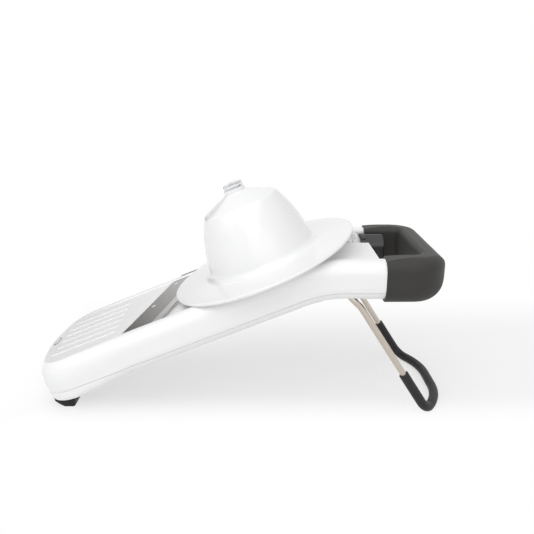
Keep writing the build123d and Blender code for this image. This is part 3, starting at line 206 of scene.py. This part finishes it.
inlay_grey, shader, place = new_finish("inlay_grey", IOR=1.5)
grain = speckle(place, 0.0003)
aside = away_from(place, on_deck(INLAY_MIDDLE_S, 0, -DECK_DROP))
up_slope = measured(aside, ALONG)
over = component(aside, "Y")
out_share = up_slope * up_slope * INLAY_HALF[0] ** -2 + over * over * INLAY_HALF[1] ** -2
rim = out_share > INLAY_RIM
feed(shader, Base_Color=shaded(rim * (0.85 + 0.15 * grain), (0.78, 0.78, 0.78), (0.24, 0.24, 0.24)))
feed(shader, Roughness=0.32 + 0.12 * grain)
feed(shader, Normal=relief(grain, 0.00001))
oval = bmesh.new()
oval_rings = []
dome = ((1.0, 0.4), (0.985, 0.75), (0.93, 0.9), (0.7, 0.97), (0.3, 1.0))
for share, height in ((1.0, -INLAY_SUNK), *((width, rise * INLAY_RISE) for width, rise in dome)):
    ring = []
    for i in range(INLAY_SIDES):
        turn = math.tau * i / INLAY_SIDES
        s = INLAY_MIDDLE_S + INLAY_HALF[0] * share * math.cos(turn)
        y = INLAY_HALF[1] * share * math.sin(turn)
        ring.append(on_deck(s, y, -DECK_DROP + height))
    oval_rings.append(ring)
lathe_rings(oval, oval_rings)
new_piece("nose_inlay", oval, inlay_grey, "frame")

# Screws: zinc plated steel with pan heads and a cross recess, sunk into the lower shell and the knob.
# The plating is bright, with fine turning marks round the head.
screw_zinc, shader, place = new_finish("screw_zinc", Metallic=1.0)
turned = speckle(place, 0.0004, 3.0, stretch=(1, 1, 6))
feed(shader, Base_Color=shaded(turned, (0.50, 0.50, 0.50), (0.66, 0.66, 0.67)))
feed(shader, Roughness=0.24 + 0.16 * turned)
paint(screw_zinc, "base_screws", "handle_screws", "knob_screw")

# Runway: a smooth white plate that tilts on a steel axle under its upper end.
# Food has polished it along the slope, so its sheen is streaked lengthwise and is glossier down the middle.
runway_white, shader, place = new_finish("runway_white", IOR=1.5, Coat_Weight=0.2, Coat_Roughness=0.1)
streaks = speckle(place, 0.0016, 4.0, (0, DECK_TILT, 0), (45, 1, 1))
cloud = speckle(place, 0.04, 2.0)
sparked = speckle(place, 0.00045, 1.0)
POLISHED_HALF_WIDTH = 0.05
from_middle = place.make("ShaderNodeMath", {"operation": "ABSOLUTE"}, {0: component(place, "Y")})
side = from_middle * (1 / POLISHED_HALF_WIDTH)
feed(shader, Base_Color=shaded(cloud * 0.6 + streaks * 0.4, (0.79, 0.795, 0.80), (0.87, 0.87, 0.865)))
feed(shader, Roughness=0.17 + 0.10 * streaks + 0.10 * side * cloud)
feed(shader, Normal=relief(sparked * 0.5 + streaks * 0.5, 0.000015))
paint(runway_white, "runway")

# Runway axle and adjuster shaft: steel rods, ground bright,
# with faint lines in their skin.
axle_steel, shader, place = new_finish("axle_steel", Metallic=1.0)
drawn = speckle(place, 0.0005, 3.0, stretch=(1, 40, 1))
feed(shader, Base_Color=shaded(drawn, (0.55, 0.55, 0.55), (0.68, 0.68, 0.68)))
feed(shader, Roughness=0.20 + 0.15 * drawn)
paint(axle_steel, "runway_axle", "adjuster_shaft")

# Blade: ground stainless strip with a long bevel, set at a skew across the deck.
# The flat carries fine grinding lines along the strip, the bevel coarser ones square to its edge.
BLADE_SKEW = math.radians(18)
BLADE_BACK_S = 0.1094
BLADE_WIDTH = 0.0358
BEVEL_WIDTH = 0.0072
TO_EDGE = ALONG * math.cos(BLADE_SKEW) - Vector((0, 1, 0)) * math.sin(BLADE_SKEW)
blade_steel, shader, place = new_finish("blade_steel", Metallic=1.0, Anisotropic=0.35)
flat = away_from(place, on_deck(BLADE_BACK_S, 0, 0))
bevel = measured(flat, TO_EDGE) > BLADE_WIDTH - BEVEL_WIDTH
turned_flat = place.make("ShaderNodeMapping", None, {"Vector": flat, "Rotation": (0, DECK_TILT, 0)})
lengthwise = speckle(turned_flat, 0.00035, 4.0, (0, 0, BLADE_SKEW), (1, 70, 1))
crosswise = speckle(turned_flat, 0.00028, 3.0, (0, 0, BLADE_SKEW), (50, 1, 1))
grind = bevel * crosswise + (1 - bevel) * lengthwise
smear = speckle(place, 0.03, 3.0)
tint = grind * 0.3 + smear * 0.1 + bevel * 0.6
feed(shader, Base_Color=shaded(tint, (0.38, 0.363, 0.35), (0.80, 0.79, 0.775)))
feed(shader, Roughness=0.10 + 0.10 * grind + 0.05 * smear)
feed(shader, Normal=relief(grind, 0.000006, 0.5))
paint(blade_steel, "main_blade")

# Blade pegs: white plastic rivets that hold the strip to its carrier,
# with a plain moulded skin.
peg_white, shader, place = new_finish("peg_white", IOR=1.5)
grain = speckle(place, 0.0004)
feed(shader, Base_Color=shaded(grain, (0.70, 0.70, 0.69), (0.80, 0.80, 0.79)))
feed(shader, Roughness=0.3 + 0.15 * grain)
paint(peg_white, "blade_pegs")

# Cassette: the blade's dark plastic carrier and its pull tab, glass-filled and slightly rough,
# with tiny pale fibres showing in the skin.
cassette_dark, shader, place = new_finish("cassette_dark", IOR=1.5)
fibres = speckle(place, 0.0006, 2.0, stretch=(5, 1, 1))
stipple = speckle(place, 0.0005, 1.0)
feed(shader, Base_Color=shaded(fibres, (0.075, 0.075, 0.072), (0.16, 0.16, 0.155)))
feed(shader, Roughness=0.42 + 0.2 * stipple)
feed(shader, Normal=relief(stipple, 0.00003))
paint(cassette_dark, "blade_carrier", "blade_grip")

# Handle grip: soft charcoal rubber moulded over a stiff core, with a fine even stipple and a powdery sheen.
# It is clouded, a shade lighter and rougher in places.


def stippled(place, per_metre, softness):
    """Even field of tiny pits, so many to a metre."""
    pits = {"Vector": place, "Scale": per_metre, "Smoothness": softness}
    return place.make("ShaderNodeTexVoronoi", {"feature": "SMOOTH_F1"}, pits)


grip_soft, shader, place = new_finish("grip_soft", IOR=1.48, Specular_IOR_Level=0.42, Sheen_Weight=0.05)
stipple = stippled(place, 1500.0, 0.6)
cloud = speckle(place, 0.02, 3.0)
feed(shader, Base_Color=shaded(cloud * 0.7 + stipple * 0.3, (0.020, 0.0193, 0.0172), (0.033, 0.0318, 0.0285)))
feed(shader, Roughness=0.48 + 0.14 * cloud + 0.08 * stipple)
feed(shader, Normal=relief(stipple, 0.00005, 0.7))
paint(grip_soft, "handle_grip")

# Handle core: stiff grey plastic under the grip, plugged into the ends of the rails,
# with an unpolished skin.
core_dark, shader, place = new_finish("core_dark", IOR=1.5)
grain = speckle(place, 0.0006)
feed(shader, Base_Color=shaded(grain, (0.15, 0.15, 0.145), (0.22, 0.22, 0.21)))
feed(shader, Roughness=0.4 + 0.2 * grain)
paint(core_dark, "handle_core")

# Dial: a white housing, and a domed white collar that turns beside it.
# Both are glossier than the shells, because the mould is polished there.
dial_white, shader, place = new_finish("dial_white", IOR=1.5, Coat_Weight=0.25, Coat_Roughness=0.08)
cloud = speckle(place, 0.012, 3.0)
sparked = speckle(place, 0.0004, 1.0)
feed(shader, Base_Color=shaded(cloud, (0.77, 0.775, 0.775), (0.85, 0.85, 0.845)))
feed(shader, Roughness=0.2 + 0.12 * cloud)
feed(shader, Normal=relief(sparked, 0.000012))
paint(dial_white, "dial_housing", "dial_collar")

# Dial pointer: the grey tongue that the numbers turn past,
# moulded in its own plastic with a slight cloudiness.
tongue_grey, shader, place = new_finish("tongue_grey", IOR=1.5, Coat_Weight=0.1)
grain = speckle(place, 0.0005)
cloud = speckle(place, 0.008)
feed(shader, Base_Color=shaded(cloud * 0.6 + grain * 0.4, (0.46, 0.45, 0.425), (0.58, 0.57, 0.545)))
feed(shader, Roughness=0.3 + 0.15 * grain)
feed(shader, Normal=relief(grain, 0.000015))
paint(tongue_grey, "dial_pointer")

# Thickness marks printed on the collar: plain millimetre numbers in half steps, with a bar between.
# The print is a thin dark ink film that follows the dome of the collar.
DIAL_AXIS = Vector((0, 0.0336, 0.1392))
DOME_START_X = 0.1084
DOME_RADIUS = 0.01765
COLLAR_RADIUS = 0.0194
MARK_X = 0.1117
MARK_HEIGHT = 0.0029
MARK_PITCH = math.radians(20)
MARK_FACING = math.radians(138)
MARK_COUNT = 15
MARK_AT_TONGUE = 4
TYPE_TO_HEIGHT = 1.35
BAR_LENGTH = 0.0045
BAR_THICK = 0.0006
BAR_STEPS = 6
INK_LIFT = 0.00004


def on_collar(x, turn):
    """Point on the ink film at a place along the axis and a turn from straight across."""
    drop = DOME_RADIUS - math.sqrt(DOME_RADIUS**2 - (x - DOME_START_X) ** 2)
    radius = COLLAR_RADIUS - drop + INK_LIFT
    return DIAL_AXIS + Vector((x, radius * math.cos(turn), radius * math.sin(turn)))


def printed_number(build, words, facing):
    """Lays the outlines of a number on the collar, reading along the axis."""
    lettering = bpy.data.curves.new("number", "FONT")
    lettering.body = words
    lettering.size = MARK_HEIGHT * TYPE_TO_HEIGHT
    lettering.resolution_u = 3
    holder = bpy.data.objects.new("number", lettering)
    bpy.context.scene.collection.objects.link(holder)
    bpy.context.view_layer.update()
    flat_mesh = bpy.data.meshes.new_from_object(holder.evaluated_get(bpy.context.evaluated_depsgraph_get()))
    bpy.data.objects.remove(holder)
    bpy.data.curves.remove(lettering)
    flat_number = bmesh.new()
    flat_number.from_mesh(flat_mesh)
    bpy.data.meshes.remove(flat_mesh)
    bmesh.ops.triangulate(flat_number, faces=flat_number.faces)
    placed = {}
    for vert in flat_number.verts:
        turn = facing - (vert.co.y - MARK_HEIGHT / 2) / COLLAR_RADIUS
        placed[vert] = build.verts.new(on_collar(MARK_X + vert.co.x, turn))
    for face in flat_number.faces:
        build.faces.new([placed[vert] for vert in face.verts])
    flat_number.free()


def printed_bar(build, facing):
    """Lays a short bar on the collar, along the axis."""
    rows = []
    for i in range(BAR_STEPS + 1):
        x = MARK_X + BAR_LENGTH * i / BAR_STEPS
        turns = [facing + edge * BAR_THICK / COLLAR_RADIUS / 2 for edge in (-1, 1)]
        rows.append([build.verts.new(on_collar(x, turn)) for turn in turns])
    for low, high in zip(rows, rows[1:]):
        build.faces.new((low[0], high[0], high[1], low[1]))


ink_dark, shader, place = new_finish("ink_dark", IOR=1.45)
grain = speckle(place, 0.0004)
feed(shader, Base_Color=shaded(grain, (0.035, 0.033, 0.035), (0.075, 0.072, 0.075)))
feed(shader, Roughness=0.45 + 0.2 * grain)
marks = bmesh.new()
for half in range(MARK_COUNT):
    facing = MARK_FACING - MARK_PITCH * (half - MARK_AT_TONGUE)
    words = str(half // 2) if half % 2 == 0 else f"{half / 2:.1f}"
    printed_number(marks, words, facing)
    if half < MARK_COUNT - 1:
        printed_bar(marks, facing - MARK_PITCH / 2)
new_piece("dial_marks", marks, ink_dark, "dial", smooth=False)

# Knob: satin black plastic with six softened flats, and a small raised marker on its skirt.
# Its skin is finely stippled, with worn, smoother patches where fingers hold it.
knob_black, shader, place = new_finish("knob_black", IOR=1.5, Coat_Weight=0.05)
stipple = stippled(place, 1800.0, 0.5)
worn = speckle(place, 0.009, 3.0)
feed(shader, Base_Color=shaded(worn, (0.011, 0.011, 0.012), (0.026, 0.026, 0.028)))
feed(shader, Roughness=0.34 + 0.16 * worn)
feed(shader, Normal=relief(stipple, 0.00003, 0.7))
paint(knob_black, "thickness_knob")
SKIRT_RADIUS = 0.0166
MARKER_X = 0.1244
MARKER_HALF = 0.0022
MARKER_FACING = MARK_FACING - 0.25
MARKER_HALF_TURN = 0.11
MARKER_SIDES = 20
marker = bmesh.new()
marker_rings = []
for share, rise in ((1.0, -0.0006), (1.0, 0.0006), (0.85, 0.0011), (0.5, 0.0014)):
    ring = []
    for i in range(MARKER_SIDES):
        turn = math.tau * i / MARKER_SIDES
        x = MARKER_X + MARKER_HALF * share * math.cos(turn)
        swing = MARKER_FACING + MARKER_HALF_TURN * share * math.sin(turn)
        radius = SKIRT_RADIUS + rise
        ring.append(DIAL_AXIS + Vector((x, radius * math.cos(swing), radius * math.sin(swing))))
    marker_rings.append(ring)
lathe_rings(marker, marker_rings)
new_piece("knob_marker", marker, knob_black, "dial")

# Natural nylon pieces inside the body: the cam and bush of the dial, and the bearing blocks of the stand.
# Nylon is milky and a little translucent, with a waxy skin.
nylon, shader, place = new_finish("nylon", IOR=1.53)
cloud = speckle(place, 0.006, 3.0)
grain = speckle(place, 0.0005)
feed(shader, Base_Color=shaded(cloud, (0.62, 0.61, 0.57), (0.74, 0.73, 0.69)))
feed(shader, Roughness=0.36 + 0.16 * grain)
feed(shader, Normal=relief(grain, 0.00002))
paint(nylon, "lift_cam", "shaft_bush", "stand_bearings")

# Stand: one bent wire with a warm satin nickel plate, drawn smooth along its length.
# Faint lines run down the legs, and the plate is slightly cloudy.
wire_nickel, shader, place = new_finish("wire_nickel", Metallic=1.0)
LEG_TURN = math.radians(54.7)
drawn = speckle(place, 0.0006, 4.0, (0, -LEG_TURN, 0), (40, 1, 1))
cloud = speckle(place, 0.015, 2.0)
feed(shader, Base_Color=shaded(drawn * 0.5 + cloud * 0.5, (0.47, 0.415, 0.36), (0.63, 0.57, 0.51)))
feed(shader, Roughness=0.22 + 0.14 * drawn + 0.08 * cloud)
feed(shader, Normal=relief(drawn, 0.00001, 0.5))
paint(wire_nickel, "stand_wire")

# Foot of the nose and sleeve of the stand: dark rubber that keeps the slicer from sliding.
# It is matte and slightly dusty, with a fine grain.
rubber_dark, shader, place = new_finish("rubber_dark", IOR=1.5, Specular_IOR_Level=0.35, Sheen_Weight=0.03)
dust = speckle(place, 0.007, 4.0)
grain = speckle(place, 0.0007, 2.0)
feed(shader, Base_Color=shaded(dust * 0.7 + grain * 0.3, (0.009, 0.0088, 0.0086), (0.021, 0.0203, 0.0196)))
feed(shader, Roughness=0.44 + 0.2 * dust)
feed(shader, Normal=relief(grain, 0.00005, 0.6))
paint(rubber_dark, "front_foot", "stand_sleeve")

# Food holder: a deep white hat with a broad brim, polished all over so that it slides and washes easily.
# The pusher plate and stem inside it are of the same white plastic.
holder_white, shader, place = new_finish("holder_white", IOR=1.5, Coat_Weight=0.35, Coat_Roughness=0.05)
cloud = speckle(place, 0.05, 2.0)
wave = speckle(place, 0.006, 1.0)
fine_scuffs = speckle(place, 0.0009, 3.0, (0, DECK_TILT, 0), (25, 6, 1))
feed(shader, Base_Color=shaded(cloud, (0.82, 0.823, 0.83), (0.90, 0.90, 0.897)))
feed(shader, Roughness=0.13 + 0.07 * cloud + 0.06 * fine_scuffs)
feed(shader, Normal=relief(wave, 0.00001))
paint(holder_white, "holder_hat", "pusher_stem", "pusher_plate")

# Prongs: bright drawn steel points under the pusher plate,
# with fine lines along them.
prong_steel, shader, place = new_finish("prong_steel", Metallic=1.0)
drawn = speckle(place, 0.0004, 3.0, (0, DECK_TILT, 0), (1, 1, 25))
feed(shader, Base_Color=shaded(drawn, (0.56, 0.56, 0.57), (0.70, 0.70, 0.71)))
feed(shader, Roughness=0.16 + 0.16 * drawn)
paint(prong_steel, "prongs")

# Coil spring: the coil of the CAD in the same steel, copied into a mesh of its own that rides on the holder.
# The CAD coil itself is hidden.
coil = bpy.data.objects.new("spring_coil", node["pusher_spring"].data.copy())
bpy.context.scene.collection.objects.link(coil)
coil.data.materials.clear()
coil.data.materials.append(prong_steel)
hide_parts("pusher_spring")
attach(coil, "holder")
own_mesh(coil)

# Pusher cap: a clear button that caps the stem,
# a little cloudy in places.
cap_clear, shader, place = new_finish(
    "cap_clear", IOR=1.49, Transmission_Weight=0.75, Coat_Weight=0.3, Coat_Roughness=0.04
)
cloud = speckle(place, 0.004, 2.0)
feed(shader, Base_Color=shaded(cloud, (0.82, 0.84, 0.85), (0.93, 0.94, 0.95)))
feed(shader, Roughness=0.05 + 0.08 * cloud)
paint(cap_clear, "pusher_cap")

# Floor: a white sweep that shows the soft shade under the object and glows plain white further out,
# so that the ground runs into the white backdrop.


def stage_card(name, corners, material):
    """Flat four-cornered surface that belongs to the studio, not to the object."""
    mesh = bpy.data.meshes.new(name)
    mesh.from_pydata(corners, [], [(0, 1, 2, 3)])
    mesh.materials.append(material)
    card = bpy.data.objects.new(name, mesh)
    bpy.context.scene.collection.objects.link(card)
    return card


sweep_white, shader, place = new_finish("sweep_white", Roughness=0.9, Specular_IOR_Level=0.1)
shader.inputs["Base Color"].default_value = (0.9, 0.9, 0.9, 1)
glow = place.make("ShaderNodeEmission", None, {"Color": (1, 1, 1, 1), "Strength": 1.0})


def smooth_rise(tone, nought_at, one_at):
    """Nought at one value of a tone, one at another, and an even curve between them."""
    limits = {"Value": tone, "From Min": nought_at, "From Max": one_at}
    return tone.make("ShaderNodeMapRange", {"interpolation_type": "SMOOTHSTEP"}, limits)


def shown_rays(base):
    """One for what is seen directly, mirrored or through glass, nought for plain light."""
    rays = base.make("ShaderNodeLightPath").socket.node.outputs
    kinds = ("Is Camera Ray", "Is Glossy Ray", "Is Transmission Ray")
    direct, mirrored, through = (Tone(base.tree, rays[kind]) for kind in kinds)
    return direct.maths("MAXIMUM", direct, direct.maths("MAXIMUM", mirrored, through))


# The shade shows in a band along the object, and the floor turns plain white past each edge of the band.
SHADE_SHOWN = 0.4
WHITE_PAST_LEFT = (-0.18, -0.25)
WHITE_PAST_RIGHT = (0.3, 0.6)
WHITE_PAST_FRONT = (-0.02, -0.085)
WHITE_PAST_BACK = (0.12, 0.28)
along_floor = component(place, "X")
across_floor = component(place, "Y")
bare = smooth_rise(along_floor, *WHITE_PAST_LEFT)
bare = bare.maths("MAXIMUM", bare, smooth_rise(along_floor, *WHITE_PAST_RIGHT))
bare = bare.maths("MAXIMUM", bare, smooth_rise(across_floor, *WHITE_PAST_FRONT))
bare = bare.maths("MAXIMUM", bare, smooth_rise(across_floor, *WHITE_PAST_BACK))
fade = 1 - SHADE_SHOWN + SHADE_SHOWN * bare
mixed = place.make("ShaderNodeMixShader", None, {0: fade * shown_rays(place), 2: glow})
tree = sweep_white.node_tree
tree.links.new(shader.outputs["BSDF"], mixed.socket.node.inputs[1])
tree.links.new(mixed.socket, tree.nodes["Material Output"].inputs["Surface"])
stage_card("floor", [(-6, -4, 0), (6, -4, 0), (6, 8, 0), (-6, 8, 0)], sweep_white)

# Dim card: a board behind the set that shows only in reflections and through clear plastic.
# It fades from dark to white, and gives the blade its dark end.
CARD_X = (-1.6, -0.3)
CARD_Y = 1.2
CARD_TOP = 0.75
CARD_FADE = (-0.78, -0.36)
card_grey, shader, place = new_finish("card_grey", Roughness=1.0, Specular_IOR_Level=0.0)
fading = {"Value": component(place, "X"), "From Min": CARD_FADE[0], "From Max": CARD_FADE[1]}
paler = place.make("ShaderNodeMapRange", None, fading)
feed(shader, Emission_Color=shaded(paler, (0.03, 0.03, 0.03), (1.0, 1.0, 1.0)))
shader.inputs["Base Color"].default_value = (0, 0, 0, 1)
shader.inputs["Emission Strength"].default_value = 1.0
low_corners = [(CARD_X[0], CARD_Y, 0), (CARD_X[1], CARD_Y, 0)]
high_corners = [(CARD_X[1], CARD_Y, CARD_TOP), (CARD_X[0], CARD_Y, CARD_TOP)]
dim_card = stage_card("dim_card", low_corners + high_corners, card_grey)
dim_card.visible_camera = False
dim_card.visible_diffuse = False
dim_card.visible_shadow = False

# Lamps: a broad soft one overhead, and weak fills from the left and the front,
# with an even white backdrop that gives half its strength as light.
MIDDLE = (0, 0, 0.1)


def soft_light(name, place, size, power):
    """Broad lamp that faces the middle of the object."""
    lamp = bpy.data.lights.new(name, "AREA")
    lamp.shape = "RECTANGLE"
    lamp.size, lamp.size_y = size
    lamp.energy = power
    holder = bpy.data.objects.new(name, lamp)
    holder.location = place
    holder.rotation_euler = (Vector(MIDDLE) - Vector(place)).to_track_quat("-Z", "Y").to_euler()
    bpy.context.scene.collection.objects.link(holder)


soft_light("overhead", (-0.35, -0.6, 1.5), (2.2, 2.2), 18.5)
soft_light("left_fill", (-1.2, -0.7, 0.8), (0.8, 0.8), 1.2)
soft_light("front_fill", (0.3, -1.7, 0.75), (1.8, 1.2), 4.6)
world = bpy.data.worlds.new("studio")
bpy.context.scene.world = world
world.use_nodes = True
sky = Tone(world.node_tree)
backdrop = world.node_tree.nodes["Background"]
world.node_tree.links.new((0.5 + 0.5 * shown_rays(sky)).socket, backdrop.inputs["Strength"])
backdrop.inputs["Color"].default_value = (1, 1, 1, 1)

# Camera: a little above the deck and almost square to the near rail,
# as the object is pictured.
CAMERA_DIP = 0.299
CAMERA_TURN = -0.012
camera = bpy.data.cameras.new("camera")
camera.sensor_width = 36
camera.lens = 40.92
camera_holder = bpy.data.objects.new("camera", camera)
camera_holder.location = (0.01743, -0.58326, 0.30985)
camera_holder.rotation_euler = (math.pi / 2 - CAMERA_DIP, 0, CAMERA_TURN)
bpy.context.scene.collection.objects.link(camera_holder)
bpy.context.scene.camera = camera_holder
bpy.context.scene.view_settings.view_transform = "Standard"
